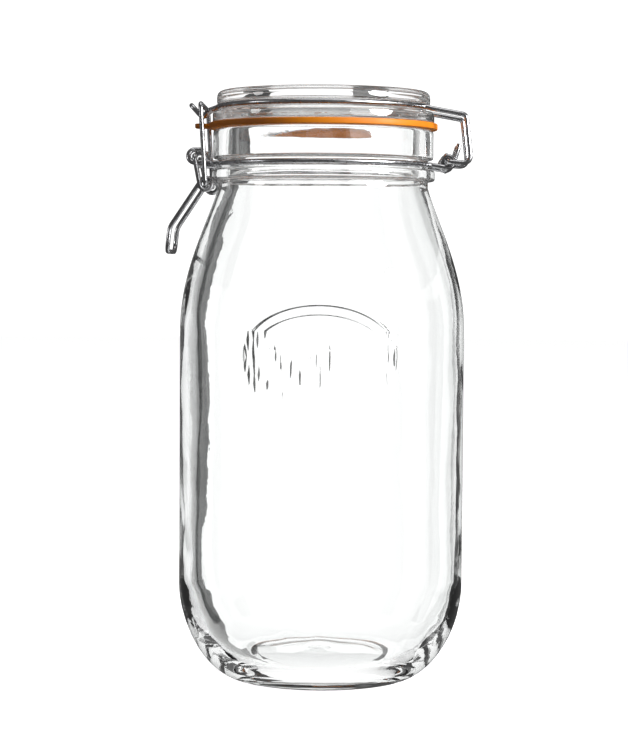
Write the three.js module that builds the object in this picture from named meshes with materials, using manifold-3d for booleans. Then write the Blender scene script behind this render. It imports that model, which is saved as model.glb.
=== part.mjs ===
import * as THREE from 'three';
import { mergeVertices } from 'three/addons/utils/BufferGeometryUtils.js';
import Module from 'manifold-3d';

// A two-litre clip top jar, in millimetres, +Z up. It stands on the ring of its foot at z = 0,
// with its axis on Z, the latch on the -X side and the hinge of the lid on the +X side.

const wasm = await Module();
wasm.setup();

// Driving dimensions

const turnSegments = 40;            // faces round the glass and the seal
const outerSteps = 8;               // faces up the outside of the heel, and again of the shoulder
const innerSteps = 6;
const wallThickness = 3.6;
const seatGap = 0.3;                // between the seal and the glass that it meets

const body = { radius: 60.2, heelHeight: 40, heelReach: 26.3, heelSquareness: 1.8, straightTop: 148 };
const shoulder = { wallHold: 0.41, neckHold: 0.75, neckFlare: 0.27 };
const foot = { innerRadius: 30.5, puntRadius: 27.5, puntEdge: 1.6, puntHeight: 3.2, crownRadius: 16.5, crownDrop: 0.5 };
const floorInside = { edge: 7.5, centre: 9, reach: 24, height: 36 };
const neck = { radius: 44.1, bottom: 207, beadRadius: 47, beadBottom: 209.8, beadTop: 214.4, beadRounding: 0.7 };
const mouth = { radius: 46.3, top: 231.1, bottom: 218.9, underRounding: 0.9, rounding: 1.4, innerRadius: 40.8 };

const seal = { outerRadius: 48, innerRadius: 40.1, thickness: 2.5, chamfer: 0.4 };
const sealBottom = mouth.top + seatGap;
const sealTop = sealBottom + seal.thickness;
const tab = { tipX: -53.9, rootX: -44, width: 11, thickness: 1.8, corner: 2.5 };

const lid = {
  discRadius: 44.8, discBottom: 241.8, discTop: 247.3, discRounding: 3, panelRadius: 40.5, panelTop: 246.4,
  panelBevel: 1, grooveRadius: 42.9, flangeRadius: 46.6, flangeTop: 238.7, flangeRounding: 1.2,
  plugRadius: 39.6, plugRounding: 0.8, plugInnerRadius: 34.5, plugDraft: 1.2, plugBottom: 229.8,
  underside: 238.6, undersideRounding: 2.5,
};

const wire = { radius: 1.05, sides: 8, bendSteps: 4, arcStep: 9, coilStep: 30, pitch: 2.4 };

// The hinge: a coil of the neck wire holds a pin of the lid wire on each side.
const hinge = { x: 52, z: 217.6, coilRadius: 2.4, coilY: 13.9, leaveAngle: 24, leaveBend: 2.5 };
const stub = { x: 56.8, z: 225.3, leaveAngle: 343.4 };
const hingeLeg = {
  y: 17.5, bottomX: 61.6, bottomZ: 216.9, topX: 59.2, topZ: 237, armX: 44.6, armZ: 239.6, leaveAngle: 29,
  pinBend: 1.6, bottomBend: 3.4, topBend: 2.4, armBend: 6,
};
const pinEye = { y: 5.8, radius: 3, from: 25, to: 300, lean: 0.14, neckY: 0.5, neckBend: 1.1 };

// The latch: the lever turns in an ear of the neck wire, and the link turns in the lever's eyes.
const neckRing = { radius: 45.6, z: 216.5 };
const lidRing = { radius: 44.5, z: 240.5 };
const ear = {
  x: -52.9, z: 219.4, bend: 2.7, outerY: 17.4, leaveAngle: 211, leadY: 2.2, leadBend: 3,
  overX: 2.9, overBend: 1.5, dropX: 4.6, dropY: 3.2, dropZ: 217.5, dropBend: 1.2, returnAngle: 194, returnBend: 1.4,
  frontAngle: 188,
};
const lever = {
  wireRadius: 1, pinY: 13, pinBend: 1.9, armY: 21, eyeX: -48.1, eyeZ: 207.8, eyeRadius: 2.5, eyeFrom: 188, eyeTo: 507,
  kneeX: -63, kneeY: 19.4, kneeZ: 189.8, kneeBend: 8, endX: -64.1, endY: 20, endZ: 179.8, endBend: 5,
};
const link = { wireRadius: 1, legY: 23.5, hookY: 16.2, hookBend: 1.6, topX: -50.2, topZ: 240.7, topBend: 2.4 };
const tongue = {
  y: 3.2, ringAngle: 189, rootX: -44.4, rootBend: 2, neckX: -47.3, neckZ: 239.5, neckBend: 1.2,
  dipX: -51, dipZ: 236.3, dipBend: 1.8, tipX: -55.5, tipZ: 241.3, tipBend: 3,
};

// Helpers

const radians = THREE.MathUtils.degToRad;
const cosine = (degrees) => Math.cos(radians(degrees));
const sine = (degrees) => Math.sin(radians(degrees));

function turned(outline) {
  const points = outline.map(([radius, z]) => new THREE.Vector2(radius, z));
  return new THREE.LatheGeometry(points, turnSegments).rotateX(Math.PI / 2);
}

// A quarter of a rounded corner from the floor out to the wall, squarer than a circle or flatter.
function heelCurve({ wallRadius, reach, height, lift, steps }) {
  return Array.from({ length: steps + 1 }, (_, i) => {
    const angle = (Math.PI / 2) * (1 - i / steps);
    const across = Math.max(Math.cos(angle), 0) ** (2 / body.heelSquareness);
    const down = Math.sin(angle) ** (2 / body.heelSquareness);
    return [wallRadius - reach + reach * across, lift + height - height * down];
  });
}

// From the straight wall in to the neck: the wall runs on, then sweeps in and meets the neck flatter.
function shoulderCurve({ wallRadius, neckRadius, bottom, top, steps }) {
  const rise = top - bottom;
  return new THREE.CubicBezierCurve(
    new THREE.Vector2(wallRadius, bottom),
    new THREE.Vector2(wallRadius, bottom + shoulder.wallHold * rise),
    new THREE.Vector2(neckRadius + shoulder.neckFlare * (wallRadius - neckRadius), bottom + shoulder.neckHold * rise),
    new THREE.Vector2(neckRadius, top),
  ).getPoints(steps).map((point) => [point.x, point.y]);
}

// Points of a wire are [x, y, z], or [x, y, z, bend] where the wire turns a rounded corner.
const onRing = ({ radius, z }, angle) => [radius * cosine(angle), radius * sine(angle), z];

function ringArc({ radius, z }, from, to) {
  const steps = Math.ceil(Math.abs(to - from) / wire.arcStep);
  return Array.from({ length: steps + 1 }, (_, i) => {
    const angle = from + ((to - from) * i) / steps;
    return onRing({ radius, z }, angle);
  });
}

function coil({ x, z, radius, from, to, fromY, toY }) {
  const steps = Math.ceil(Math.abs(to - from) / wire.coilStep);
  return Array.from({ length: steps + 1 }, (_, i) => {
    const angle = from + ((to - from) * i) / steps;
    return [x + radius * cosine(angle), fromY + ((toY - fromY) * i) / steps, z + radius * sine(angle)];
  });
}

// Where the tangent of a ring at an angle reaches a given y.
function tangentCorner({ radius, z }, angle, y) {
  const startY = radius * sine(angle);
  const along = (y - startY) / -cosine(angle);
  return [radius * cosine(angle) + along * sine(angle), y, z];
}

const mirrored = (points) => points.map(([x, y, ...rest]) => [x, -y, ...rest]).reverse();

function bentPoints(points) {
  const places = points.map(([x, y, z]) => new THREE.Vector3(x, y, z));
  return points.flatMap(([, , , bend], i) => {
    if (!bend) return [places[i]];
    const back = places[i - 1].clone().sub(places[i]);
    const ahead = places[i + 1].clone().sub(places[i]);
    const reach = bend / Math.tan(back.angleTo(ahead) / 2);
    const start = places[i].clone().addScaledVector(back.normalize(), reach);
    const end = places[i].clone().addScaledVector(ahead.normalize(), reach);
    return new THREE.QuadraticBezierCurve3(start, places[i], end).getPoints(wire.bendSteps);
  });
}

// The centre line of a wire, sampled only at its own points, so that straight runs stay plain.
class WireLine extends THREE.Curve {
  constructor(points) {
    super();
    this.points = points;
  }

  getPointAt(u, target = new THREE.Vector3()) {
    return target.copy(this.points[Math.round(u * (this.points.length - 1))]);
  }

  getTangentAt(u, target = new THREE.Vector3()) {
    const last = this.points.length - 1;
    const i = Math.round(u * last);
    target.set(0, 0, 0);
    if (i > 0) target.add(this.points[i].clone().sub(this.points[i - 1]).normalize());
    if (i < last) target.add(this.points[i + 1].clone().sub(this.points[i]).normalize());
    return target.normalize();
  }
}

function wireGeometry(points, radius) {
  const line = new WireLine(bentPoints(points));
  const section = new THREE.Shape(Array.from({ length: wire.sides }, (_, i) => {
    const angle = (360 * (i + 0.5)) / wire.sides;
    return new THREE.Vector2(radius * cosine(angle), radius * sine(angle));
  }));
  return new THREE.ExtrudeGeometry(section, { steps: line.points.length - 1, extrudePath: line });
}

function toManifold(geometry) {
  const bare = geometry.clone();
  bare.deleteAttribute('normal');
  bare.deleteAttribute('uv');
  const merged = mergeVertices(bare, 1e-4);
  return new wasm.Manifold(new wasm.Mesh({
    numProp: 3,
    vertProperties: new Float32Array(merged.attributes.position.array),
    triVerts: new Uint32Array(merged.index.array),
  }));
}

function fromManifold(solid) {
  const { vertProperties, triVerts } = solid.getMesh();
  const geometry = new THREE.BufferGeometry();
  geometry.setAttribute('position', new THREE.BufferAttribute(vertProperties, 3));
  geometry.setIndex(new THREE.BufferAttribute(triVerts, 1));
  return geometry;
}

// Glass

function jarGeometry() {
  const lip = mouth.rounding;
  const under = mouth.underRounding;
  const bead = neck.beadRounding;
  const outside = [
    [0, foot.puntHeight],
    [foot.crownRadius, foot.puntHeight - foot.crownDrop],
    [foot.puntRadius, foot.puntEdge],
    [foot.innerRadius, 0],
    ...heelCurve({ wallRadius: body.radius, reach: body.heelReach, height: body.heelHeight, lift: 0, steps: outerSteps }),
    ...shoulderCurve({
      wallRadius: body.radius, neckRadius: neck.radius, bottom: body.straightTop, top: neck.bottom, steps: outerSteps,
    }),
    [neck.radius, neck.beadBottom],
    [neck.beadRadius - bead, neck.beadBottom + bead],
    [neck.beadRadius, (neck.beadBottom + neck.beadTop) / 2],
    [neck.beadRadius - bead, neck.beadTop - bead],
    [neck.radius, neck.beadTop],
    [neck.radius, mouth.bottom - under],
    [mouth.radius - under, mouth.bottom],
    [mouth.radius, mouth.bottom + under],
    [mouth.radius, mouth.top - lip],
    [mouth.radius - lip * 0.3, mouth.top - lip * 0.3],
    [mouth.radius - lip, mouth.top],
  ];
  const innerWall = body.radius - wallThickness;
  const inside = [
    [mouth.innerRadius + lip, mouth.top],
    [mouth.innerRadius + lip * 0.3, mouth.top - lip * 0.3],
    [mouth.innerRadius, mouth.top - lip],
    ...shoulderCurve({
      wallRadius: innerWall, neckRadius: mouth.innerRadius, bottom: body.straightTop, top: neck.bottom,
      steps: innerSteps,
    }).reverse(),
    ...heelCurve({
      wallRadius: innerWall, reach: floorInside.reach, height: floorInside.height, lift: floorInside.edge,
      steps: innerSteps,
    }).reverse(),
    [0, floorInside.centre],
  ];
  return turned([...outside, ...inside]);
}

function lidGeometry() {
  const round = lid.discRounding;
  const edge = lid.flangeRounding;
  const inner = lid.undersideRounding;
  return turned([
    [0, lid.underside],
    [lid.plugInnerRadius - inner, lid.underside],
    [lid.plugInnerRadius - inner * 0.3, lid.underside - inner * 0.3],
    [lid.plugInnerRadius, lid.underside - inner],
    [lid.plugInnerRadius + lid.plugDraft, lid.plugBottom],
    [lid.plugRadius - lid.plugRounding, lid.plugBottom],
    [lid.plugRadius, lid.plugBottom + lid.plugRounding],
    [lid.plugRadius, sealTop + seatGap],
    [lid.flangeRadius - edge * 0.5, sealTop + seatGap],
    [lid.flangeRadius, sealTop + seatGap + edge * 0.5],
    [lid.flangeRadius, lid.flangeTop - edge],
    [lid.flangeRadius - edge, lid.flangeTop],
    [lid.grooveRadius, lid.flangeTop],
    [lid.grooveRadius, lid.discBottom],
    [lid.discRadius - round * 0.3, lid.discBottom],
    [lid.discRadius, lid.discBottom + round * 0.3],
    [lid.discRadius, lid.discTop - round],
    [lid.discRadius - round * 0.3, lid.discTop - round * 0.3],
    [lid.discRadius - round, lid.discTop],
    [lid.panelRadius + lid.panelBevel, lid.discTop],
    [lid.panelRadius, lid.panelTop],
    [0, lid.panelTop],
  ]);
}

// Seal

function sealGeometry() {
  const { outerRadius, innerRadius, chamfer } = seal;
  const ring = turned([
    [innerRadius, sealBottom],
    [outerRadius - chamfer, sealBottom],
    [outerRadius, sealBottom + chamfer],
    [outerRadius, sealTop - chamfer],
    [outerRadius - chamfer, sealTop],
    [innerRadius, sealTop],
    [innerRadius, sealBottom],
  ]);
  const half = tab.width / 2;
  const outline = new THREE.Shape();
  outline.moveTo(tab.rootX, -half);
  outline.lineTo(tab.rootX, half);
  outline.lineTo(tab.tipX + tab.corner, half);
  outline.quadraticCurveTo(tab.tipX, half, tab.tipX, half - tab.corner);
  outline.lineTo(tab.tipX, tab.corner - half);
  outline.quadraticCurveTo(tab.tipX, -half, tab.tipX + tab.corner, -half);
  const flap = new THREE.ExtrudeGeometry(outline, { depth: tab.thickness, bevelEnabled: false, curveSegments: 4 });
  flap.translate(0, 0, sealBottom + (seal.thickness - tab.thickness) / 2);
  return fromManifold(toManifold(ring).add(toManifold(flap)));
}

// Wires

function neckWireGeometry() {
  const y = -hinge.coilY;
  const firstCoilY = y + wire.pitch;
  const half = [
    [stub.x, firstCoilY, stub.z],
    ...coil({
      x: hinge.x, z: hinge.z, radius: hinge.coilRadius, from: stub.leaveAngle, to: -90, fromY: firstCoilY, toY: y,
    }),
    [...tangentCorner(neckRing, -hinge.leaveAngle, y), hinge.leaveBend],
    ...ringArc(neckRing, -hinge.leaveAngle, ear.leaveAngle - 360),
    [...tangentCorner(neckRing, ear.leaveAngle, -ear.outerY - ear.leadY), ear.leadBend],
    ...coil({
      x: ear.x, z: ear.z, radius: ear.bend, from: 270, to: 90, fromY: -ear.outerY, toY: wire.pitch - ear.outerY,
    }),
    [ear.x + ear.overX, wire.pitch - ear.outerY, ear.z + ear.bend, ear.overBend],
    [ear.x + ear.dropX, ear.dropY - ear.outerY, ear.dropZ, ear.dropBend],
    [...onRing(neckRing, ear.returnAngle), ear.returnBend],
    onRing(neckRing, ear.frontAngle),
  ];
  const middle = [-neckRing.radius, 0, neckRing.z];
  return wireGeometry([...half, middle, ...mirrored(half)], wire.radius);
}

// The pin of the lid wire ends in an upright eye, which keeps it from slipping out of its coil.
function pinEyePoints() {
  const steps = Math.ceil((pinEye.to - pinEye.from) / wire.coilStep);
  return Array.from({ length: steps + 1 }, (_, i) => {
    const angle = 180 + pinEye.from + ((pinEye.to - pinEye.from) * i) / steps;
    const across = pinEye.radius * cosine(angle);
    return [hinge.x - pinEye.lean * (across + pinEye.radius), across - pinEye.y, hinge.z + pinEye.radius * sine(angle)];
  });
}

function lidWireGeometry() {
  const y = -hingeLeg.y;
  const half = [
    ...pinEyePoints().reverse(),
    [hinge.x, -pinEye.y - pinEye.radius - pinEye.neckY, hinge.z, pinEye.neckBend],
    [hinge.x, y, hinge.z, hingeLeg.pinBend],
    [hingeLeg.bottomX, y, hingeLeg.bottomZ, hingeLeg.bottomBend],
    [hingeLeg.topX, y, hingeLeg.topZ, hingeLeg.topBend],
    [hingeLeg.armX, y, hingeLeg.armZ, hingeLeg.armBend],
    [...tangentCorner(lidRing, -hingeLeg.leaveAngle, y), hingeLeg.topBend],
    ...ringArc(lidRing, -hingeLeg.leaveAngle, tongue.ringAngle - 360),
    [tongue.rootX, -tongue.y, lidRing.z, tongue.rootBend],
    [tongue.neckX, -tongue.y, tongue.neckZ, tongue.neckBend],
    [tongue.dipX, -tongue.y, tongue.dipZ, tongue.dipBend],
    [tongue.tipX, -tongue.y, tongue.tipZ, tongue.tipBend],
  ];
  return wireGeometry([...half, ...mirrored(half)], wire.radius);
}

function leverGeometry() {
  const eyeY = wire.pitch - lever.armY;
  const half = [
    [ear.x, -lever.pinY, ear.z],
    [ear.x, -lever.armY, ear.z, lever.pinBend],
    ...coil({
      x: lever.eyeX, z: lever.eyeZ, radius: lever.eyeRadius, from: lever.eyeFrom, to: lever.eyeTo,
      fromY: -lever.armY, toY: eyeY,
    }),
    [lever.kneeX, -lever.kneeY, lever.kneeZ, lever.kneeBend],
    [lever.endX, -lever.endY, lever.endZ, lever.endBend],
  ];
  return wireGeometry([...half, ...mirrored(half)], lever.wireRadius);
}

function linkGeometry() {
  const half = [
    [lever.eyeX, -link.hookY, lever.eyeZ],
    [lever.eyeX, -link.legY, lever.eyeZ, link.hookBend],
    [link.topX, -link.legY, link.topZ, link.topBend],
  ];
  return wireGeometry([...half, ...mirrored(half)], link.wireRadius);
}

// Assembly

const glassLook = { color: 0xdfe9e8, roughness: 0.04, metalness: 0, transparent: true, opacity: 0.35 };
const steelLook = { color: 0xb9bdc1, roughness: 0.25, metalness: 1 };
const rubberLook = { color: 0xe2801c, roughness: 0.55, metalness: 0 };

function piece(name, geometry, look) {
  const mesh = new THREE.Mesh(geometry, new THREE.MeshStandardMaterial(look));
  mesh.name = name;
  return mesh;
}

const group = new THREE.Group();
group.add(
  piece('glass_jar', jarGeometry(), glassLook),
  piece('neck_wire', neckWireGeometry(), steelLook),
  piece('glass_lid', lidGeometry(), glassLook),
  piece('rubber_seal', sealGeometry(), rubberLook),
  piece('lid_wire', lidWireGeometry(), steelLook),
  piece('lever_wire', leverGeometry(), steelLook),
  piece('link_wire', linkGeometry(), steelLook),
);

export default group;
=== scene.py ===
import math

import bmesh
import bpy
from mathutils import Matrix, Quaternion, Vector, noise


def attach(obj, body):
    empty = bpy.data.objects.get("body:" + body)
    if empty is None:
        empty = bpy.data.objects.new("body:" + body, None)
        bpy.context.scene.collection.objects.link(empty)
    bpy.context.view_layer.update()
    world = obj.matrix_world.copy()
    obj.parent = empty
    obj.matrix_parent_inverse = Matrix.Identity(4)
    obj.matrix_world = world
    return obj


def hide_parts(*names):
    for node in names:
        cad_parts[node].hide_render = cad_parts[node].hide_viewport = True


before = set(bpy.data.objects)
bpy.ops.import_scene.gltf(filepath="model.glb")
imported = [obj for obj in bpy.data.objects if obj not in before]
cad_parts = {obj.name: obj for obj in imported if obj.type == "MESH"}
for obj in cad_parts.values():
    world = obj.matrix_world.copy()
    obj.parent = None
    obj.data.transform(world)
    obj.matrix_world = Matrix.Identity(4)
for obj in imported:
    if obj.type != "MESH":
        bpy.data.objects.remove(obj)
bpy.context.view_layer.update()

# Lengths are in millimetres until finishPiece scales the mesh to metres.
# +Z is up, the viewer of the photograph is at -Y, the latch at -X and the hinge at +X.

shot = {
    "place": (17.5, -1000.8, 173.7),
    "aim": (-3.25, 0, 127.5),
    "roll": 0.4,
    "lens": 113.3,
    "sensor": 36,
    "farthest": 50,         # metres
}


def placeCamera():
    camera = bpy.data.objects.new("camera", bpy.data.cameras.new("camera"))
    bpy.context.collection.objects.link(camera)
    camera.data.lens = shot["lens"]
    camera.data.sensor_width = shot["sensor"]
    camera.data.clip_end = shot["farthest"]
    place = Vector(shot["place"]) / 1000
    gaze = Vector(shot["aim"]) / 1000 - place
    turn = gaze.to_track_quat("-Z", "Y") @ Quaternion((0, 0, 1), math.radians(shot["roll"]))
    camera.location = place
    camera.rotation_euler = turn.to_euler()
    bpy.context.scene.camera = camera


placeCamera()
print("camera placed")


# Node groups that more than one material uses

def newGroup(name, inputs, outputs):
    group = bpy.data.node_groups.new(name, "ShaderNodeTree")
    for label, kind, value in inputs:
        socket = group.interface.new_socket(name=label, in_out="INPUT", socket_type=kind)
        if value is not None:
            socket.default_value = value
    for label, kind in outputs:
        group.interface.new_socket(name=label, in_out="OUTPUT", socket_type=kind)
    return group, group.nodes.new("NodeGroupInput"), group.nodes.new("NodeGroupOutput")


def makeWaves():
    # a slow swell and a finer ripple, as fire-polished or moulded surfaces have
    group, given, out = newGroup(
        "surface waves",
        [("Vector", "NodeSocketVector", None), ("Swell Scale", "NodeSocketFloat", 40.0),
         ("Ripple Scale", "NodeSocketFloat", 160.0), ("Ripple Share", "NodeSocketFloat", 0.3),
         ("Depth", "NodeSocketFloat", 0.0003)],
        [("Normal", "NodeSocketVector"), ("Height", "NodeSocketFloat")])
    link = group.links.new
    swell = group.nodes.new("ShaderNodeTexNoise")
    swell.inputs["Detail"].default_value = 1.0
    ripple = group.nodes.new("ShaderNodeTexNoise")
    ripple.inputs["Detail"].default_value = 3.0
    mix = group.nodes.new("ShaderNodeMix")
    bump = group.nodes.new("ShaderNodeBump")
    bump.inputs["Strength"].default_value = 1.0
    link(given.outputs["Vector"], swell.inputs["Vector"])
    link(given.outputs["Vector"], ripple.inputs["Vector"])
    link(given.outputs["Swell Scale"], swell.inputs["Scale"])
    link(given.outputs["Ripple Scale"], ripple.inputs["Scale"])
    link(given.outputs["Ripple Share"], mix.inputs["Factor"])
    link(swell.outputs["Fac"], mix.inputs["A"])
    link(ripple.outputs["Fac"], mix.inputs["B"])
    link(mix.outputs["Result"], bump.inputs["Height"])
    link(given.outputs["Depth"], bump.inputs["Distance"])
    link(bump.outputs["Normal"], out.inputs["Normal"])
    link(mix.outputs["Result"], out.inputs["Height"])
    return group


def makeHandling():
    # patches that handling and washing leave duller or brighter
    group, given, out = newGroup(
        "handling marks",
        [("Vector", "NodeSocketVector", None), ("Patch Scale", "NodeSocketFloat", 30.0),
         ("Smoothest", "NodeSocketFloat", 0.2), ("Roughest", "NodeSocketFloat", 0.35)],
        [("Roughness", "NodeSocketFloat"), ("Patches", "NodeSocketFloat")])
    link = group.links.new
    patches = group.nodes.new("ShaderNodeTexNoise")
    patches.inputs["Detail"].default_value = 4.0
    patches.inputs["Roughness"].default_value = 0.6
    spread = group.nodes.new("ShaderNodeMapRange")
    spread.inputs["From Min"].default_value = 0.35
    spread.inputs["From Max"].default_value = 0.68
    link(given.outputs["Vector"], patches.inputs["Vector"])
    link(given.outputs["Patch Scale"], patches.inputs["Scale"])
    link(patches.outputs["Fac"], spread.inputs["Value"])
    link(given.outputs["Smoothest"], spread.inputs["To Min"])
    link(given.outputs["Roughest"], spread.inputs["To Max"])
    link(spread.outputs["Result"], out.inputs["Roughness"])
    link(patches.outputs["Fac"], out.inputs["Patches"])
    return group


surfaceWaves = makeWaves()
handlingMarks = makeHandling()


def startMaterial(name):
    material = bpy.data.materials.new(name)
    material.use_nodes = True
    nodes = material.node_tree.nodes
    return material, nodes, material.node_tree.links.new, nodes["Principled BSDF"]


def placeGroup(nodes, group, values):
    node = nodes.new("ShaderNodeGroup")
    node.node_tree = group
    for label, value in values.items():
        node.inputs[label].default_value = value
    return node


glassLook = {
    "clear": (0.992, 0.995, 0.994, 1),
    "edge": (0.78, 0.81, 0.80, 1),      # painted shade: glass seen edge-on is darkened, partly for the light it swallows along its wall and partly standing in for its dark rims
    "ior": 1.51,
    "paintedEdgeShadeBlend": 0.25,
}


def makeGlass(name, waves):
    material, nodes, link, shader = startMaterial(name)
    shader.inputs["Metallic"].default_value = 0.0
    shader.inputs["Transmission Weight"].default_value = 1.0
    shader.inputs["IOR"].default_value = glassLook["ior"]
    shader.inputs["Roughness"].default_value = 0.0
    where = nodes.new("ShaderNodeTexCoord")
    wave = placeGroup(nodes, surfaceWaves, waves)
    link(where.outputs["Object"], wave.inputs["Vector"])
    link(wave.outputs["Normal"], shader.inputs["Normal"])
    # painted shade: the Facing weight darkens the glass colour where its surface is seen edge-on
    facing = nodes.new("ShaderNodeLayerWeight")
    facing.inputs["Blend"].default_value = glassLook["paintedEdgeShadeBlend"]
    tint = nodes.new("ShaderNodeMix")
    tint.data_type = "RGBA"
    tint.inputs["A"].default_value = glassLook["clear"]
    tint.inputs["B"].default_value = glassLook["edge"]
    link(facing.outputs["Facing"], tint.inputs["Factor"])
    link(tint.outputs["Result"], shader.inputs["Base Color"])
    return material


steelLook = {
    "bright": (0.62, 0.62, 0.63, 1),
    "dull": (0.36, 0.36, 0.38, 1),
    "dullUpTo": 0.3,
    "brightFrom": 0.62,
    "smoothest": 0.16,
    "roughest": 0.32,
    "patchScale": 140.0,
    "lineScale": 6.0,
    "lineDepth": 0.00006,
}


def makeSteel(name, shade):
    # the die leaves fine lines along a drawn wire, read from the wireGrain attribute
    material, nodes, link, shader = startMaterial(name)
    shader.inputs["Metallic"].default_value = 1.0
    grain = nodes.new("ShaderNodeAttribute")
    grain.attribute_name = "wireGrain"
    lines = nodes.new("ShaderNodeTexNoise")
    lines.inputs["Scale"].default_value = steelLook["lineScale"]
    lines.inputs["Detail"].default_value = 4.0
    ramp = nodes.new("ShaderNodeValToRGB")
    dull, bright = ramp.color_ramp.elements
    dull.position = steelLook["dullUpTo"]
    dull.color = [c * shade for c in steelLook["dull"][:3]] + [1]
    bright.position = steelLook["brightFrom"]
    bright.color = [c * shade for c in steelLook["bright"][:3]] + [1]
    where = nodes.new("ShaderNodeTexCoord")
    marks = placeGroup(nodes, handlingMarks, {
        "Patch Scale": steelLook["patchScale"], "Smoothest": steelLook["smoothest"],
        "Roughest": steelLook["roughest"]})
    bump = nodes.new("ShaderNodeBump")
    bump.inputs["Strength"].default_value = 0.5
    bump.inputs["Distance"].default_value = steelLook["lineDepth"]
    link(grain.outputs["Vector"], lines.inputs["Vector"])
    link(lines.outputs["Fac"], ramp.inputs["Fac"])
    link(lines.outputs["Fac"], bump.inputs["Height"])
    link(where.outputs["Object"], marks.inputs["Vector"])
    link(ramp.outputs["Color"], shader.inputs["Base Color"])
    link(marks.outputs["Roughness"], shader.inputs["Roughness"])
    link(bump.outputs["Normal"], shader.inputs["Normal"])
    return material


rubberLook = {
    "fresh": (0.98, 0.33, 0.012, 1),
    "aged": (0.78, 0.18, 0.008, 1),
    "smoothest": 0.42,
    "roughest": 0.6,
    "patchScale": 55.0,
    "shine": 0.25,
}


def makeRubber():
    material, nodes, link, shader = startMaterial("orange rubber")
    shader.inputs["Specular IOR Level"].default_value = rubberLook["shine"]
    where = nodes.new("ShaderNodeTexCoord")
    marks = placeGroup(nodes, handlingMarks, {
        "Patch Scale": rubberLook["patchScale"], "Smoothest": rubberLook["smoothest"],
        "Roughest": rubberLook["roughest"]})
    skin = placeGroup(nodes, surfaceWaves, {
        "Swell Scale": 220.0, "Ripple Scale": 1900.0, "Ripple Share": 0.5, "Depth": 0.00009})
    tint = nodes.new("ShaderNodeMix")
    tint.data_type = "RGBA"
    tint.inputs["A"].default_value = rubberLook["fresh"]
    tint.inputs["B"].default_value = rubberLook["aged"]
    link(where.outputs["Object"], marks.inputs["Vector"])
    link(where.outputs["Object"], skin.inputs["Vector"])
    link(marks.outputs["Patches"], tint.inputs["Factor"])
    link(tint.outputs["Result"], shader.inputs["Base Color"])
    link(marks.outputs["Roughness"], shader.inputs["Roughness"])
    link(skin.outputs["Normal"], shader.inputs["Normal"])
    return material


jarGlass = makeGlass("jar glass", {
    "Swell Scale": 34.0, "Ripple Scale": 110.0, "Ripple Share": 0.06, "Depth": 0.0004})
lidGlass = makeGlass("lid glass", {
    "Swell Scale": 45.0, "Ripple Scale": 150.0, "Ripple Share": 0.06, "Depth": 0.0003})
wireSteel = makeSteel("drawn steel", 1.0)
latchSteel = makeSteel("latch steel", 0.92)
orangeRubber = makeRubber()
print("materials made")


weldDistance = 0.0005       # points of a piece that lie closer than this become one


def cosine(degrees):
    return math.cos(math.radians(degrees))


def sine(degrees):
    return math.sin(math.radians(degrees))


def finishPiece(name, bm, material, node, body):
    bmesh.ops.remove_doubles(bm, verts=bm.verts, dist=weldDistance)
    bmesh.ops.recalc_face_normals(bm, faces=bm.faces)
    bmesh.ops.scale(bm, vec=(0.001, 0.001, 0.001), verts=bm.verts)
    mesh = bpy.data.meshes.new(name)
    bm.to_mesh(mesh)
    bm.free()
    mesh.materials.append(material)
    mesh.polygons.foreach_set("use_smooth", [True] * len(mesh.polygons))
    piece = bpy.data.objects.new(name, mesh)
    bpy.context.collection.objects.link(piece)
    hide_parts(node)
    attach(piece, body)
    print(name, "made,", len(mesh.polygons), "faces")
    return piece


# Corners of an outline are (radius, height), or (radius, height, rounding).
def roundedOutline(corners, steps=5):
    spots = [Vector(corner[:2]) for corner in corners]
    outline = []
    for i, corner in enumerate(corners):
        if len(corner) < 3:
            outline.append(spots[i])
            continue
        back = (spots[i - 1] - spots[i]).normalized()
        ahead = (spots[i + 1] - spots[i]).normalized()
        reach = corner[2] / math.tan(back.angle(ahead) / 2)
        start = spots[i] + back * reach
        end = spots[i] + ahead * reach
        for k in range(steps + 1):
            t = k / steps
            outline.append(start * (1 - t) ** 2 + spots[i] * 2 * t * (1 - t) + end * t ** 2)
    return outline


def closeSpaced(outline, longest):
    # splits long runs, so that waves in the glass have points to move
    spaced = [outline[0]]
    for before, after in zip(outline, outline[1:]):
        limit = longest((before.y + after.y) / 2)
        parts = max(1, math.ceil((after - before).length / limit))
        spaced.extend(before.lerp(after, k / parts) for k in range(1, parts + 1))
    return spaced


def drawOutline(bm, outline, startAngle):
    turn = Matrix.Rotation(math.radians(startAngle), 3, "Z")
    verts = [bm.verts.new(turn @ Vector((spot.x, 0, spot.y))) for spot in outline]
    edges = [bm.edges.new(pair) for pair in zip(verts, verts[1:])]
    return verts + edges


def spinOutline(bm, outline, segments):
    bmesh.ops.spin(bm, geom=drawOutline(bm, outline, 0), cent=(0, 0, 0), axis=(0, 0, 1),
                   angle=math.tau, steps=segments, use_merge=True)


# Glass jar

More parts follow.
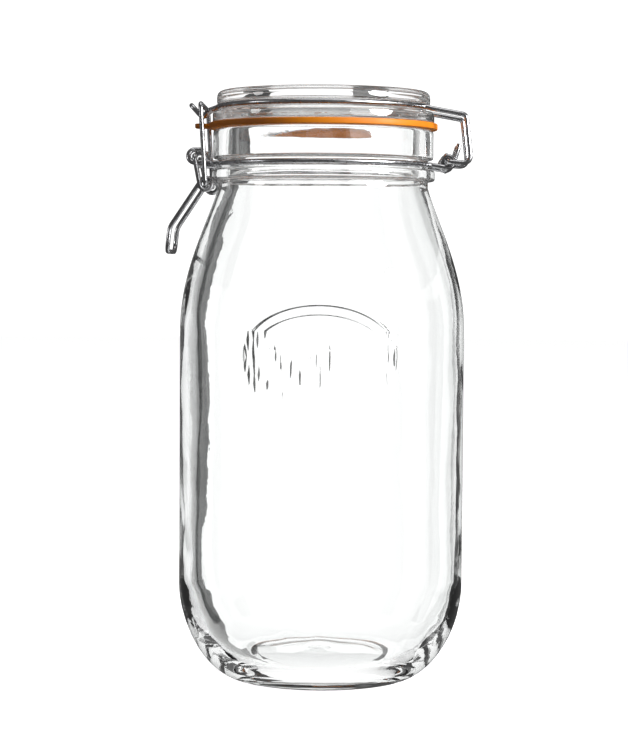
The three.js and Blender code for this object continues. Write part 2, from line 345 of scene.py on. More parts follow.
jar = {
    "wallRadius": 59.9,
    "wallThickness": 3.4,
    "straightTop": 148,
    "heelHeight": 40,
    "heelSquareness": 1.8,
    "innerHeelReach": 24,
    "innerHeelHeight": 36,
    "ringOuter": 33.9,
    "ringInner": 30.5,
    "ringRounding": 0.6,
    "puntHeight": 3.2,
    "puntFalls": [(9, 0.12), (16.5, 0.5), (23, 1.05)],     # radius, and how far it has come down
    "puntEdge": (27.5, 1.6, 1.2),       # radius, height and rounding
    "floorEdge": 7.5,
    "floorCentre": 9,
    "floorBend": (18, 0.7),             # radius, and how far below the floor's centre
    "shoulderLowHandle": 0.41,
    "shoulderHighHandle": (0.27, 0.75),     # shares of the shoulder's width and height
    "neckRadius": 44.1,
    "neckBottom": 207,
    "neckRounding": 0.6,
    "beadRadius": 47,
    "beadFeet": (209.8, 214.4),
    "beadEdges": (209.9, 214.3),
    "beadRounding": 1.3,
    "mouthRadius": 46.3,
    "mouthInner": 40.8,
    "mouthFoot": 218.5,
    "mouthFootRounding": 0.5,
    "mouthBottom": 219.0,
    "mouthBottomRounding": 1.0,
    "mouthTop": 231.1,
    "mouthRounding": 1.4,
    "rowHeight": 3.5,
}

# How moulding left the wall: sizes of the waves along x, y and z, and how far they reach in and out.
moulding = {
    "innerWave": 0.24,
    "innerSize": (26, 26, 44),
    "innerRipple": 0.05,
    "rippleSize": (8, 8, 13),
    "rippleShift": 40,
    "outerWave": 0.06,
    "outerSize": (30, 30, 50),
    "outerShift": 90,
    "outerTrim": 0.03,      # keeps the crests of the waves inside the solid's radius
    "fromRadius": 20,
    "fadeFoot": (2, 14),    # height where the waves begin, and over how much they grow
    "fadeTop": (205, 12),
    "innerFrom": 12,        # above this height the middle of the wall parts the inside from the outside
    "shoulderFrom": 150,
}

medallion = {
    "centre": 138,
    "halfWidth": 32,
    "halfHeight": 21,
    "line": 1.0,
    "inset": 3.8,
    "innerLine": 0.85,
    "innerShare": 0.8,
    "height": 0.76,
    "sink": 0.52,           # the wall is this much flatter behind it
    "sinkReach": 50,
    "margin": 2,
    "halfAngle": 33.5,
    "fineSteps": 188,
    "plainSteps": 98,
    "rowHeight": 0.4,
}


def heelCurve(wallRadius, reach, height, lift, steps):
    power = 2 / jar["heelSquareness"]
    curve = []
    for i in range(steps + 1):
        angle = math.pi / 2 * (1 - i / steps)
        across = max(math.cos(angle), 0) ** power
        down = math.sin(angle) ** power
        curve.append((wallRadius - reach + reach * across, lift + height - height * down))
    return curve


def shoulderCurve(wallRadius, neckRadius, bottom, top, steps):
    rise = top - bottom
    across, up = jar["shoulderHighHandle"]
    handles = [Vector((wallRadius, bottom)),
               Vector((wallRadius, bottom + jar["shoulderLowHandle"] * rise)),
               Vector((neckRadius + across * (wallRadius - neckRadius), bottom + up * rise)),
               Vector((neckRadius, top))]
    curve = []
    for i in range(steps + 1):
        t = i / steps
        spot = (handles[0] * (1 - t) ** 3 + handles[1] * 3 * t * (1 - t) ** 2
                + handles[2] * 3 * t * t * (1 - t) + handles[3] * t ** 3)
        curve.append((spot.x, spot.y))
    return curve


def jarOutline():
    wall, neck = jar["wallRadius"], jar["neckRadius"]
    bead, mouth = jar["beadRadius"], jar["mouthRadius"]
    inner = wall - jar["wallThickness"]
    beadFoot, beadShoulder = jar["beadFeet"]
    beadLow, beadHigh = jar["beadEdges"]
    bendRadius, bendFall = jar["floorBend"]
    outside = [
        (0, jar["puntHeight"]),
        *((radius, jar["puntHeight"] - fall) for radius, fall in jar["puntFalls"]),
        jar["puntEdge"],
        (jar["ringInner"], 0, jar["ringRounding"]),
        *heelCurve(wall, wall - jar["ringOuter"], jar["heelHeight"], 0, steps=36),
        *shoulderCurve(wall, neck, jar["straightTop"], jar["neckBottom"], steps=30),
        (neck, beadFoot, jar["neckRounding"]),
        (bead, beadLow, jar["beadRounding"]),
        (bead, beadHigh, jar["beadRounding"]),
        (neck, beadShoulder, jar["neckRounding"]),
        (neck, jar["mouthFoot"], jar["mouthFootRounding"]),
        (mouth, jar["mouthBottom"], jar["mouthBottomRounding"]),
        (mouth, jar["mouthTop"], jar["mouthRounding"]),
        (jar["mouthInner"], jar["mouthTop"], jar["mouthRounding"]),
    ]
    innerShoulder = shoulderCurve(inner, jar["mouthInner"], jar["straightTop"],
                                  jar["neckBottom"], steps=26)
    innerHeel = heelCurve(inner, jar["innerHeelReach"], jar["innerHeelHeight"],
                          jar["floorEdge"], steps=30)
    inside = [
        *reversed(innerShoulder),
        *reversed(innerHeel),
        (bendRadius, jar["floorCentre"] - bendFall),
        (0, jar["floorCentre"]),
    ]
    return roundedOutline(outside + inside)


# A smooth ridge: 1 on a line, and 0 where the distance to it reaches half.
def hump(distance, half):
    return math.cos(math.pi / 2 * min(abs(distance) / half, 1)) ** 2


def ovalDistance(across, up, halfWidth, halfHeight):
    steep = math.hypot(across / halfWidth ** 2, up / halfHeight ** 2)
    return ((across / halfWidth) ** 2 + (up / halfHeight) ** 2 - 1) / (2 * max(steep, 1e-4))


def branchSpot(handles, t):
    return handles[0] * (1 - t) ** 2 + handles[1] * 2 * t * (1 - t) + handles[2] * t * t


sprig = {
    "branches": [
        [(0, -13), (0, -5), (0, 3.5)],
        [(0, -13), (12, -12.5), (18.5, 0.5)],
        [(0, -13), (-12, -12.5), (-18.5, 0.5)],
    ],
    "leafPlaces": [0.36, 0.58, 0.8],
    "leafSpread": 42,
    "leafLength": 6.6,
    "leafHalfWidth": 1.75,
    "leafTaper": 0.75,
    "leafSwell": 0.6,
    "ribDepth": 0.55,
    "ribWidth": 0.4,
    "stemLine": 0.9,
    "stemShare": 0.7,       # of the leaves' height
    "stemSteps": 14,
    "aimStep": 0.02,        # along a branch, to find which way it runs at a leaf
    "tipFrom": 0.94,
}


def makeSprig():
    stems = []
    leaves = []
    steps, aimStep = sprig["stemSteps"], sprig["aimStep"]
    for branch in sprig["branches"]:
        handles = [Vector(spot) for spot in branch]
        stems.append([branchSpot(handles, k / steps) for k in range(steps + 1)])
        for t in sprig["leafPlaces"]:
            along = (branchSpot(handles, t + aimStep) - branchSpot(handles, t - aimStep)).normalized()
            for side in (-1, 1):
                turn = Matrix.Rotation(math.radians(side * sprig["leafSpread"]), 2)
                leaves.append((branchSpot(handles, t), turn @ along))
        tip = handles[2] - branchSpot(handles, sprig["tipFrom"])
        leaves.append((handles[2], tip.normalized()))
    return stems, leaves


stems, leaves = makeSprig()


def sprigHeight(spot):
    height = 0
    for stem in stems:
        for before, after in zip(stem, stem[1:]):
            run = after - before
            t = min(max((spot - before).dot(run) / run.length_squared, 0), 1)
            away = (spot - before - run * t).length
            height = max(height, sprig["stemShare"] * hump(away, sprig["stemLine"]))
    for foot, along in leaves:
        out = spot - foot
        run = out.dot(along) / sprig["leafLength"]
        if not 0 < run < 1:
            continue
        side = out.dot(Vector((-along.y, along.x)))
        half = sprig["leafHalfWidth"] * math.sin(math.pi * run) ** sprig["leafTaper"]
        if abs(side) < half:
            rib = sprig["ribDepth"] * math.exp(-(side / sprig["ribWidth"]) ** 2)
            height = max(height, (1 - (side / half) ** 2) ** sprig["leafSwell"] * (1 - rib))
    return height


def reliefHeight(across, up):
    wide, tall = medallion["halfWidth"], medallion["halfHeight"]
    if abs(across) > wide + medallion["margin"] or abs(up) > tall + medallion["margin"]:
        return 0
    inset = medallion["inset"]
    outer = hump(ovalDistance(across, up, wide, tall), medallion["line"])
    inner = hump(ovalDistance(across, up, wide - inset, tall - inset), medallion["innerLine"])
    sprigRise = sprigHeight(Vector((across, up)))
    return medallion["height"] * max(outer, medallion["innerShare"] * inner, sprigRise)


def waveAt(spot, size, shift=0):
    return noise.noise(Vector((spot.x / size[0], spot.y / size[1], spot.z / size[2] + shift)))


def makeJar():
    half = medallion["halfAngle"]
    fineLow = medallion["centre"] - medallion["halfHeight"] - medallion["margin"]
    fineHigh = medallion["centre"] + medallion["halfHeight"] + medallion["margin"]
    fine, plain = medallion["rowHeight"], jar["rowHeight"]
    rows = jarOutline()
    outsideEnd = max(range(len(rows)), key=lambda i: rows[i].y)
    outside = closeSpaced(rows[:outsideEnd + 1], lambda z: fine if fineLow < z < fineHigh else plain)
    inside = closeSpaced(rows[outsideEnd:], lambda z: plain)
    bm = bmesh.new()
    geom = drawOutline(bm, outside + inside[1:], -90 - half)
    front = bmesh.ops.spin(bm, geom=geom, cent=(0, 0, 0), axis=(0, 0, 1), angle=math.radians(2 * half),
                           steps=medallion["fineSteps"])
    bmesh.ops.spin(bm, geom=front["geom_last"], cent=(0, 0, 0), axis=(0, 0, 1),
                   angle=math.tau - math.radians(2 * half), steps=medallion["plainSteps"])
    bmesh.ops.remove_doubles(bm, verts=bm.verts, dist=weldDistance)
    footEnd, footReach = moulding["fadeFoot"]
    topEnd, topReach = moulding["fadeTop"]
    for vert in bm.verts:
        spot = vert.co
        radius = math.hypot(spot.x, spot.y)
        if radius < moulding["fromRadius"] or spot.z > topEnd:
            continue
        fade = min((topEnd - spot.z) / topReach, 1) * min(max(spot.z - footEnd, 0) / footReach, 1)
        if isInside(radius, spot.z):
            ripple = waveAt(spot, moulding["rippleSize"], moulding["rippleShift"])
            push = moulding["innerWave"] * waveAt(spot, moulding["innerSize"])
            push += moulding["innerRipple"] * ripple
        else:
            push = moulding["outerWave"] * waveAt(spot, moulding["outerSize"], moulding["outerShift"])
            push -= moulding["outerTrim"]
            angle = math.atan2(spot.x, -spot.y)
            if abs(angle) < math.radians(half):
                rise = spot.z - medallion["centre"]
                push += reliefHeight(angle * jar["wallRadius"], rise)
                push -= (medallion["sink"] * hump(angle, math.radians(half))
                         * hump(rise, medallion["sinkReach"]))
        grow = 1 + push * fade / radius
        vert.co.x *= grow
        vert.co.y *= grow
    finishPiece("jar_glass_fine", bm, jarGlass, "glass_jar", "jar")


outerShoulder = shoulderCurve(jar["wallRadius"], jar["neckRadius"], jar["straightTop"],
                              jar["neckBottom"], steps=60)


# Whether a point belongs to the inner face of the wall.
def isInside(radius, z):
    if z <= moulding["innerFrom"]:
        return False
    outer = jar["wallRadius"]
    if z >= moulding["shoulderFrom"]:
        outer = min(outerShoulder, key=lambda spot: abs(spot[1] - z))[0]
    return radius < outer - jar["wallThickness"] / 2


makeJar()


# Glass lid

lid = {
    "discRadius": 44.8,
    "discBottom": 241.8,
    "discTop": 247.3,
    "panelRadius": 40.5,
    "panelTop": 246.4,
    "grooveRadius": 42.9,
    "flangeRadius": 46.6,
    "flangeBottom": 234.2,
    "flangeTop": 238.7,
    "plugRadius": 39.6,
    "plugInner": 34.5,
    "plugBottom": 229.8,
    "plugDraft": 1.2,
    "plugRounding": 1.1,
    "underside": 238.6,
    "undersideRise": [(0, 0.4), (20, 0.25)],    # radius, and how far the underside arches up there
    "undersideRounding": 2.6,
    "flangeRoundings": (0.5, 0.7, 1.5),
    "grooveRounding": 0.7,
    "discRoundings": (1.0, 3.0),
    "panelStep": 1,
    "panelRoundings": (0.4, 0.5),
    "panelFalls": [(18, 0.15), (0, 0.2)],       # radius, and how far the panel dips there
    "longestRun": 4.0,
    "segments": 144,
}


def makeLid():
    bm = bmesh.new()
    flangeRoot, flangeLow, flangeHigh = lid["flangeRoundings"]
    discLow, discHigh = lid["discRoundings"]
    panelLip, panelEdge = lid["panelRoundings"]
    outline = roundedOutline([
        *((radius, lid["underside"] + rise) for radius, rise in lid["undersideRise"]),
        (lid["plugInner"], lid["underside"], lid["undersideRounding"]),
        (lid["plugInner"] + lid["plugDraft"], lid["plugBottom"], lid["plugRounding"]),
        (lid["plugRadius"], lid["plugBottom"], lid["plugRounding"]),
        (lid["plugRadius"], lid["flangeBottom"], flangeRoot),
        (lid["flangeRadius"], lid["flangeBottom"], flangeLow),
        (lid["flangeRadius"], lid["flangeTop"], flangeHigh),
        (lid["grooveRadius"], lid["flangeTop"], lid["grooveRounding"]),
        (lid["grooveRadius"], lid["discBottom"], lid["grooveRounding"]),
        (lid["discRadius"], lid["discBottom"], discLow),
        (lid["discRadius"], lid["discTop"], discHigh),
        (lid["panelRadius"] + lid["panelStep"], lid["discTop"], panelLip),
        (lid["panelRadius"], lid["panelTop"], panelEdge),
        *((radius, lid["panelTop"] - fall) for radius, fall in lid["panelFalls"]),
    ])
    spinOutline(bm, closeSpaced(outline, lambda z: lid["longestRun"]), lid["segments"])
    finishPiece("lid_glass_fine", bm, lidGlass, "glass_lid", "lid")


makeLid()


# Rubber seal with its pull tab

seal = {
    "outerRadius": 48,
    "innerRadius": 40.1,
    "bottom": 231.4,
    "top": 233.9,
    "rounding": 0.45,
    "segments": 220,
    "tabHalfSegments": 4,
    "tabTip": -53.9,
    "tabThickness": 1.8,
    "tabCorner": 2.5,
    "bevelWidth": 0.0003,   # metres, for a modifier works on the finished mesh
    "bevelAngle": 38,
}


def makeSeal():
    bm = bmesh.new()
    low, high = seal["bottom"], seal["top"]
    rounding = seal["rounding"]
    outline = roundedOutline([
        (seal["innerRadius"], (low + high) / 2),
        (seal["innerRadius"], low, rounding),
        (seal["outerRadius"], low, rounding),
        (seal["outerRadius"], high, rounding),
        (seal["innerRadius"], high, rounding),
        (seal["innerRadius"], (low + high) / 2),
    ], 3)
    spinOutline(bm, outline, seal["segments"])
    bmesh.ops.remove_doubles(bm, verts=bm.verts, dist=weldDistance)
    # the upright faces of the rim that lie within the tab's width
    window = (seal["tabHalfSegments"] + 0.2) * 360 / seal["segments"]
    wall = []
    for face in bm.faces:
        middle = face.calc_center_median()
        away = abs(math.degrees(math.atan2(middle.y, -middle.x)))
        upright = abs(face.verts[0].co.z - face.verts[2].co.z) > high - low - 2.5 * rounding
        if away < window and middle.xy.length > seal["outerRadius"] - 0.1 and upright:
            wall.append(face)
    half = max(abs(vert.co.y) for face in wall for vert in face.verts)
    centre = (low + high) / 2
    pull = bmesh.ops.extrude_face_region(bm, geom=wall)
    tip = [item for item in pull["geom"] if isinstance(item, bmesh.types.BMVert)]
    bmesh.ops.delete(bm, geom=wall, context="FACES_ONLY")
    for vert in tip:
        past = max(abs(vert.co.y) - (half - seal["tabCorner"]), 0) / seal["tabCorner"]
        vert.co.x = seal["tabTip"] + seal["tabCorner"] * (1 - math.sqrt(max(1 - past * past, 0)))
        vert.co.z = centre + math.copysign(seal["tabThickness"] / 2, vert.co.z - centre)
    piece = finishPiece("seal_rubber_fine", bm, orangeRubber, "rubber_seal", "lid")
    edge = piece.modifiers.new("edge", "BEVEL")
    edge.width = seal["bevelWidth"]
    edge.segments = 2
    edge.limit_method = "ANGLE"
    edge.angle_limit = math.radians(seal["bevelAngle"])


makeSeal()


# Wires. Points of a wire are (x, y, z), or (x, y, z, bend) where it turns a rounded corner.

wire = {
    "radius": 1.05,
    "sides": 14,
    "bendSteps": 9,
    "arcStep": 3,
    "coilStep": 11,
    "pitch": 2.4,
    "longestRun": 5,
    "shortestRun": 0.02,
    "capShare": 0.3,        # of the radius, rounded off at the wire's ends
    "grainStretch": 0.03,
}


def bentPath(points):
    spots = [Vector(point[:3]) for point in points]
    path = []
    for i, point in enumerate(points):
        if len(point) < 4:
            path.append(spots[i])
            continue
        back = spots[i - 1] - spots[i]
        ahead = spots[i + 1] - spots[i]
        reach = point[3] / math.tan(back.angle(ahead) / 2)
        start = spots[i] + back.normalized() * reach
        end = spots[i] + ahead.normalized() * reach
        for k in range(wire["bendSteps"] + 1):
            t = k / wire["bendSteps"]
            path.append(start * (1 - t) ** 2 + spots[i] * 2 * t * (1 - t) + end * t ** 2)
    return path


def ringArc(radius, z, start, end):
    steps = math.ceil(abs(end - start) / wire["arcStep"])
    angles = [start + (end - start) * k / steps for k in range(steps + 1)]
    return [(radius * cosine(angle), radius * sine(angle), z) for angle in angles]


def coil(x, z, radius, start, end, startY, endY):
    steps = math.ceil(abs(end - start) / wire["coilStep"])
    points = []
    for k in range(steps + 1):
        angle = start + (end - start) * k / steps
        y = startY + (endY - startY) * k / steps
        points.append((x + radius * cosine(angle), y, z + radius * sine(angle)))
    return points


# Where the tangent of a ring at an angle reaches a given y.
def tangentCorner(radius, z, angle, y, bend):
    along = (y - radius * sine(angle)) / -cosine(angle)
    return (radius * cosine(angle) + along * sine(angle), y, z, bend)


def bothSides(half, middle=()):
    return [*half, *middle, *((p[0], -p[1], *p[2:]) for p in reversed(half))]


def evenPath(path, longest):
    even = [path[0]]
    for before, after in zip(path, path[1:]):
        if (after - before).length < wire["shortestRun"]:
            continue
        parts = max(1, math.ceil((after - before).length / longest))
        even.extend(before.lerp(after, k / parts) for k in range(1, parts + 1))
    return even


def makeWire(name, points, radius, material, node, body):
    path = evenPath(bentPath(points), wire["longestRun"])
    bm = bmesh.new()
    grain = bm.verts.layers.float_vector.new("wireGrain")
    bmesh.ops.create_circle(bm, cap_ends=False, segments=wire["sides"], radius=radius)
    ring = list(bm.verts)
    for vert in ring:
        vert[grain] = Vector((vert.co.x / radius, vert.co.y / radius, 0))
    firstEdges = list(bm.edges)
    edges = firstEdges
    last = len(path) - 1
    headings = [(path[min(i + 1, last)] - path[max(i - 1, 0)]).normalized() for i in range(last + 1)]
    turn = Vector((0, 0, 1)).rotation_difference(headings[0])
    bmesh.ops.transform(bm, matrix=Matrix.Translation(path[0]) @ turn.to_matrix().to_4x4(), verts=ring)
    along = 0
    for i in range(1, last + 1):
        step = headings[i - 1].rotation_difference(headings[i])
        pull = bmesh.ops.extrude_edge_only(bm, edges=edges)
        ring = [item for item in pull["geom"] if isinstance(item, bmesh.types.BMVert)]
        edges = [item for item in pull["geom"] if isinstance(item, bmesh.types.BMEdge)]
        bend = step.to_matrix().to_4x4()
        move = Matrix.Translation(path[i]) @ bend @ Matrix.Translation(-path[i - 1])
        bmesh.ops.transform(bm, matrix=move, verts=ring)
        along += (path[i] - path[i - 1]).length
        for vert in ring:
            vert[grain] = Vector((vert[grain].x, vert[grain].y, along * wire["grainStretch"]))
    for end in (firstEdges, edges):
        bmesh.ops.contextual_create(bm, geom=end)
        bmesh.ops.bevel(bm, geom=end, offset=radius * wire["capShare"], segments=2, profile=0.5,
                        material=-1, affect="EDGES")
    finishPiece(name, bm, material, node, body)


hinge = {"x": 52, "z": 217.6, "coilRadius": 2.4, "coilY": 13.9, "leaveAngle": 24}
stub = {"x": 56.8, "z": 225.3, "leaveAngle": 343.4}
neckRing = {"radius": 45.6, "z": 216.5, "frontFrom": 188, "frontTo": 181}
lidRing = {"radius": 44.5, "z": 240.5, "frontTo": -171}
ear = {
    "x": -52.9,
    "z": 219.4,
    "bend": 2.7,
    "outerY": 17.4,
    "drop": 2.2,            # how far outside the ear the wire comes down from the ring
    "leaveAngle": 211,
    "returnAngle": 194,
    "overhang": 2.9,
    "ramp": (4.6, 3.2, 217.5),
}


def neckWirePoints():
    y = -hinge["coilY"]
    coilY = y + wire["pitch"]
    radius, z = neckRing["radius"], neckRing["z"]
    earY = wire["pitch"] - ear["outerY"]
    rampX, rampY, rampZ = ear["ramp"]
    half = [
        (stub["x"], coilY, stub["z"]),
        *coil(hinge["x"], hinge["z"], hinge["coilRadius"], stub["leaveAngle"], -90, coilY, y),
        tangentCorner(radius, z, -hinge["leaveAngle"], y, 2.5),
        *ringArc(radius, z, -hinge["leaveAngle"], ear["leaveAngle"] - 360),
        tangentCorner(radius, z, ear["leaveAngle"], -ear["outerY"] - ear["drop"], 3),
        *coil(ear["x"], ear["z"], ear["bend"], 270, 90, -ear["outerY"], earY),
        (ear["x"] + ear["overhang"], earY, ear["z"] + ear["bend"], 1.5),
        (ear["x"] + rampX, rampY - ear["outerY"], rampZ, 1.2),
        (radius * cosine(ear["returnAngle"]), radius * sine(ear["returnAngle"]), z, 1.4),
        *ringArc(radius, z, neckRing["frontFrom"], neckRing["frontTo"]),
    ]
    return bothSides(half, [(-radius, 0, z)])


# Places are (x, z).
hingeLeg = {
    "y": 17.5,
    "bottom": (61.49, 216.9),
    "top": (59.2, 237),
    "arm": (44.6, 239.6),
    "leaveAngle": 29,
}
pinEye = {"y": 5.8, "radius": 3, "start": 25, "end": 300, "lean": 0.14, "pinEnd": 0.5}
tongue = {
    "y": 3.2,
    "rootX": -44.4,
    "neck": (-47.3, 239.5),
    "dip": (-51, 236.3),
    "tip": (-55.5, 241.3),
}


def pinEyePoints():
    steps = math.ceil((pinEye["end"] - pinEye["start"]) / wire["coilStep"])
    points = []
    for k in range(steps + 1):
        angle = 180 + pinEye["start"] + (pinEye["end"] - pinEye["start"]) * k / steps
        across = pinEye["radius"] * cosine(angle)
        x = hinge["x"] - pinEye["lean"] * (across + pinEye["radius"])
        points.append((x, across - pinEye["y"], hinge["z"] + pinEye["radius"] * sine(angle)))
    return points


# A rounded corner of a wire at a place (x, z), this far from the middle plane.
def besidePoint(place, y, bend):
    return (place[0], y, place[1], bend)


def lidWirePoints():
    y = -hingeLeg["y"]
    radius, z = lidRing["radius"], lidRing["z"]
    half = [
        *reversed(pinEyePoints()),
        (hinge["x"], -pinEye["y"] - pinEye["radius"] - pinEye["pinEnd"], hinge["z"], 1.1),
        (hinge["x"], y, hinge["z"], 1.6),
        besidePoint(hingeLeg["bottom"], y, 3.4),
        besidePoint(hingeLeg["top"], y, 2.4),
        besidePoint(hingeLeg["arm"], y, 6),
        tangentCorner(radius, z, -hingeLeg["leaveAngle"], y, 2.4),
        *ringArc(radius, z, -hingeLeg["leaveAngle"], lidRing["frontTo"]),
        (tongue["rootX"], -tongue["y"], z, 2),
        besidePoint(tongue["neck"], -tongue["y"], 1.2),
        besidePoint(tongue["dip"], -tongue["y"], 1.8),
        besidePoint(tongue["tip"], -tongue["y"], 3),
    ]
    return bothSides(half)


lever = {
    "radius": 1,
    "pinY": 13,
    "armY": 21,
    "eye": (-48.1, 207.8),
    "eyeRadius": 2.5,
    "eyeStart": 188,
    "eyeEnd": 507,
    "knee": (-63, 189.8),
    "kneeY": 19.4,
    "end": (-64.03, 179.8),
    "endY": 20,
}
link = {"radius": 1, "legY": 23.5, "hookY": 16.2, "top": (-50.2, 240.7)}


def leverPoints():
    eyeX, eyeZ = lever["eye"]
    half = [
        (ear["x"], -lever["pinY"], ear["z"]),
        (ear["x"], -lever["armY"], ear["z"], 1.9),
        *coil(eyeX, eyeZ, lever["eyeRadius"], lever["eyeStart"], lever["eyeEnd"], -lever["armY"],
              wire["pitch"] - lever["armY"]),
        besidePoint(lever["knee"], -lever["kneeY"], 8),
        besidePoint(lever["end"], -lever["endY"], 5),
    ]
    return bothSides(half)


def linkPoints():
    eyeX, eyeZ = lever["eye"]
    half = [
        (eyeX, -link["hookY"], eyeZ),
        (eyeX, -link["legY"], eyeZ, 1.6),
        besidePoint(link["top"], -link["legY"], 2.4),
    ]
    return bothSides(half)


makeWire("neck_wire_fine", neckWirePoints(), wire["radius"], wireSteel,
         "neck_wire", "jar")
makeWire("lid_wire_fine", lidWirePoints(), wire["radius"], wireSteel,
         "lid_wire", "lid")
makeWire("lever_fine", leverPoints(), lever["radius"], latchSteel,
         "lever_wire", "lever")
makeWire("link_fine", linkPoints(), link["radius"], latchSteel,
         "link_wire", "link")


# Stage

stage = {
    "bounces": 28,          # light passes many times through the thick glass of the heel
    "glossyBounces": 20,
    "transmissionBounces": 24,
    "floorRadius": 4.9,
    "floorDepth": 0.0004,   # keeps the floor clear of the foot ring
    "floorColour": (0.93, 0.93, 0.93, 1),
    "floorRoughness": 0.9,
    "floorShine": 0.1,
    "floorGlow": 0.9,
    "domeRadius": 5,
    "domeSegments": (48, 24),
    "domeLight": 1.22,
    "roomRadius": 4.5,
    "roomLight": 0.1,       # what the wires and the glass mirror, besides the lamps
    "ambient": 0.09,
    "cards": 8,
    "cardRadius": 1.7,
    "cardTurn": 108.5,
    "cardWidth": 15,        # degrees of each dark card, seen only through the glass
    "cardLow": -1.2,
    "cardHigh": 1.2,
    "cardHighRight": 0.42,
    "cardShade": 0.06,
    "ceilingRadius": 4.2,   # a dim ceiling that comes down all round, seen only through the glass
    "ceilingLow": 1.15,
    "ceilingHigh": 2.2,
    "ceilingShade": 0.14,
}


def glowMaterial(name, strength):
    material = bpy.data.materials.new(name)
    material.use_nodes = True
    nodes = material.node_tree.nodes
    nodes.remove(nodes["Principled BSDF"])
    glow = nodes.new("ShaderNodeEmission")
    glow.inputs["Color"].default_value = (1, 1, 1, 1)
    glow.inputs["Strength"].default_value = strength
    material.node_tree.links.new(glow.outputs["Emission"], nodes["Material Output"].inputs["Surface"])
    return material


def stageObject(name, bm, material):
    mesh = bpy.data.meshes.new(name)
    bm.to_mesh(mesh)
    bm.free()
    mesh.materials.append(material)
    shown = bpy.data.objects.new(name, mesh)
    bpy.context.collection.objects.link(shown)
    return shown


def makeWorld():
    world = bpy.data.worlds.new("studio")
    world.use_nodes = True
    world.node_tree.nodes["Background"].inputs["Color"].default_value = (1, 1, 1, 1)
    world.node_tree.nodes["Background"].inputs["Strength"].default_value = stage["ambient"]
    bpy.context.scene.world = world
    bpy.context.scene.view_settings.view_transform = "Standard"
    bpy.context.scene.cycles.max_bounces = stage["bounces"]
    bpy.context.scene.cycles.glossy_bounces = stage["glossyBounces"]
    bpy.context.scene.cycles.transmission_bounces = stage["transmissionBounces"]


def makeFloor():
    paper = bpy.data.materials.new("floor paper")
    paper.use_nodes = True
    surface = paper.node_tree.nodes["Principled BSDF"].inputs
    surface["Base Color"].default_value = stage["floorColour"]
    surface["Roughness"].default_value = stage["floorRoughness"]
    surface["Specular IOR Level"].default_value = stage["floorShine"]
    surface["Emission Color"].default_value = (1, 1, 1, 1)
    surface["Emission Strength"].default_value = stage["floorGlow"]
    bm = bmesh.new()
    bmesh.ops.create_circle(bm, cap_ends=True, segments=96, radius=stage["floorRadius"])
    bmesh.ops.translate(bm, vec=(0, 0, -stage["floorDepth"]), verts=bm.verts)
    floor = stageObject("floor", bm, paper)
    floor.visible_transmission = False
    floor.visible_glossy = False
    floor.visible_diffuse = False


def makeDome(name, material, radius):
    across, up = stage["domeSegments"]
    bm = bmesh.new()
    bmesh.ops.create_uvsphere(bm, u_segments=across, v_segments=up, radius=radius)
    return stageObject(name, bm, material)


def makeCards():
    bm = bmesh.new()
    for k in range(stage["cards"]):
        turn = stage["cardTurn"] + k * 360 / stage["cards"]
        half = math.radians(stage["cardWidth"] / 2)
        corner = Vector((stage["cardRadius"], 0, stage["cardLow"]))
        sides = [Matrix.Rotation(math.radians(turn) + step, 3, "Z") @ corner for step in (-half, half)]
        edge = bm.edges.new([bm.verts.new(spot) for spot in sides])
        pull = bmesh.ops.extrude_edge_only(bm, edges=[edge])
        top = [item for item in pull["geom"] if isinstance(item, bmesh.types.BMVert)]
        high = stage["cardHigh"] if edge.verts[0].co.x < 0 else stage["cardHighRight"]
        bmesh.ops.translate(bm, vec=(0, 0, high - stage["cardLow"]), verts=top)
    return stageObject("dark cards", bm, glowMaterial("dark card", stage["cardShade"]))


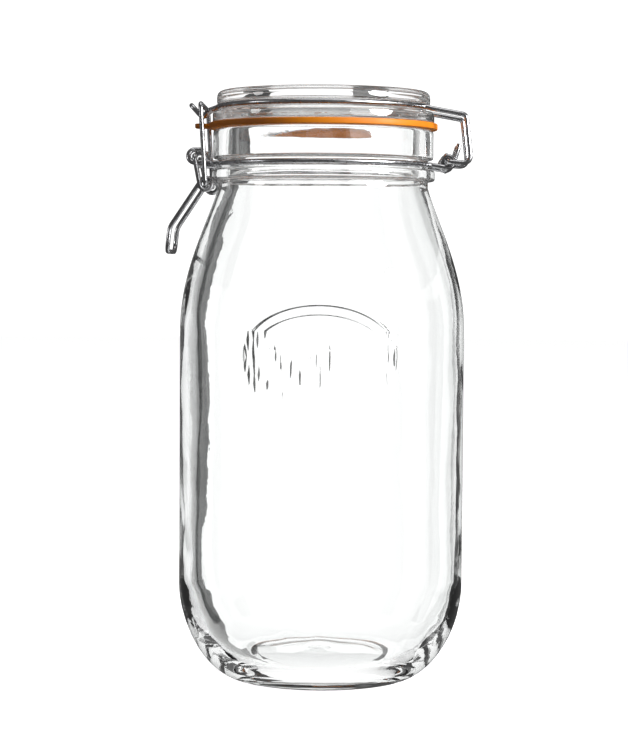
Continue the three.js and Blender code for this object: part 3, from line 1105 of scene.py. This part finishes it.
def makeCeiling():
    bm = bmesh.new()
    bmesh.ops.create_circle(bm, cap_ends=False, segments=96, radius=stage["ceilingRadius"])
    bmesh.ops.translate(bm, vec=(0, 0, stage["ceilingLow"]), verts=bm.verts)
    pull = bmesh.ops.extrude_edge_only(bm, edges=bm.edges)
    top = [item for item in pull["geom"] if isinstance(item, bmesh.types.BMVert)]
    rim = [item for item in pull["geom"] if isinstance(item, bmesh.types.BMEdge)]
    bmesh.ops.translate(bm, vec=(0, 0, stage["ceilingHigh"] - stage["ceilingLow"]), verts=top)
    bmesh.ops.contextual_create(bm, geom=rim)
    return stageObject("ceiling", bm, glowMaterial("dim ceiling", stage["ceilingShade"]))


def makeStage():
    makeWorld()
    makeFloor()
    dome = makeDome("dome", glowMaterial("white dome", stage["domeLight"]), stage["domeRadius"])
    dome.visible_diffuse = False
    dome.visible_glossy = False
    dome.visible_shadow = False
    room = makeDome("room", glowMaterial("dark room", stage["roomLight"]), stage["roomRadius"])
    room.visible_camera = False
    room.visible_diffuse = False
    room.visible_transmission = False
    room.visible_shadow = False
    for shown in (makeCards(), makeCeiling()):
        shown.visible_camera = False
        shown.visible_glossy = False
        shown.visible_diffuse = False
        shown.visible_shadow = False


# The lamps' places and sizes are in metres. One that is mirrorOnly shows in glass and wire alone.
lamps = {
    "overhead": {"place": (0.1, -0.2, 1.9), "size": 1.4, "power": 9, "mirrorOnly": False},
    "key side": {"place": (1.65, -0.85, 0.6), "size": 0.9, "power": 50, "mirrorOnly": False},
    "soft box": {"place": (1.3, -1.3, 0.5), "size": 1.2, "power": 14, "mirrorOnly": True},
    "fill side": {"place": (-1.6, -0.5, 0.5), "size": 0.4, "power": 3, "mirrorOnly": True},
}
lampAim = Vector((0, 0, 0.13))


def makeLamp(name, place, size, power, mirrorOnly):
    lamp = bpy.data.lights.new(name, "AREA")
    lamp.shape = "DISK"
    lamp.size = size
    lamp.energy = power
    holder = bpy.data.objects.new(name, lamp)
    bpy.context.collection.objects.link(holder)
    holder.location = place
    holder.rotation_euler = (lampAim - Vector(place)).to_track_quat("-Z", "Y").to_euler()
    holder.visible_camera = False
    holder.visible_transmission = False
    holder.visible_diffuse = not mirrorOnly


makeStage()
for name, values in lamps.items():
    makeLamp(name, **values)
print("stage made")
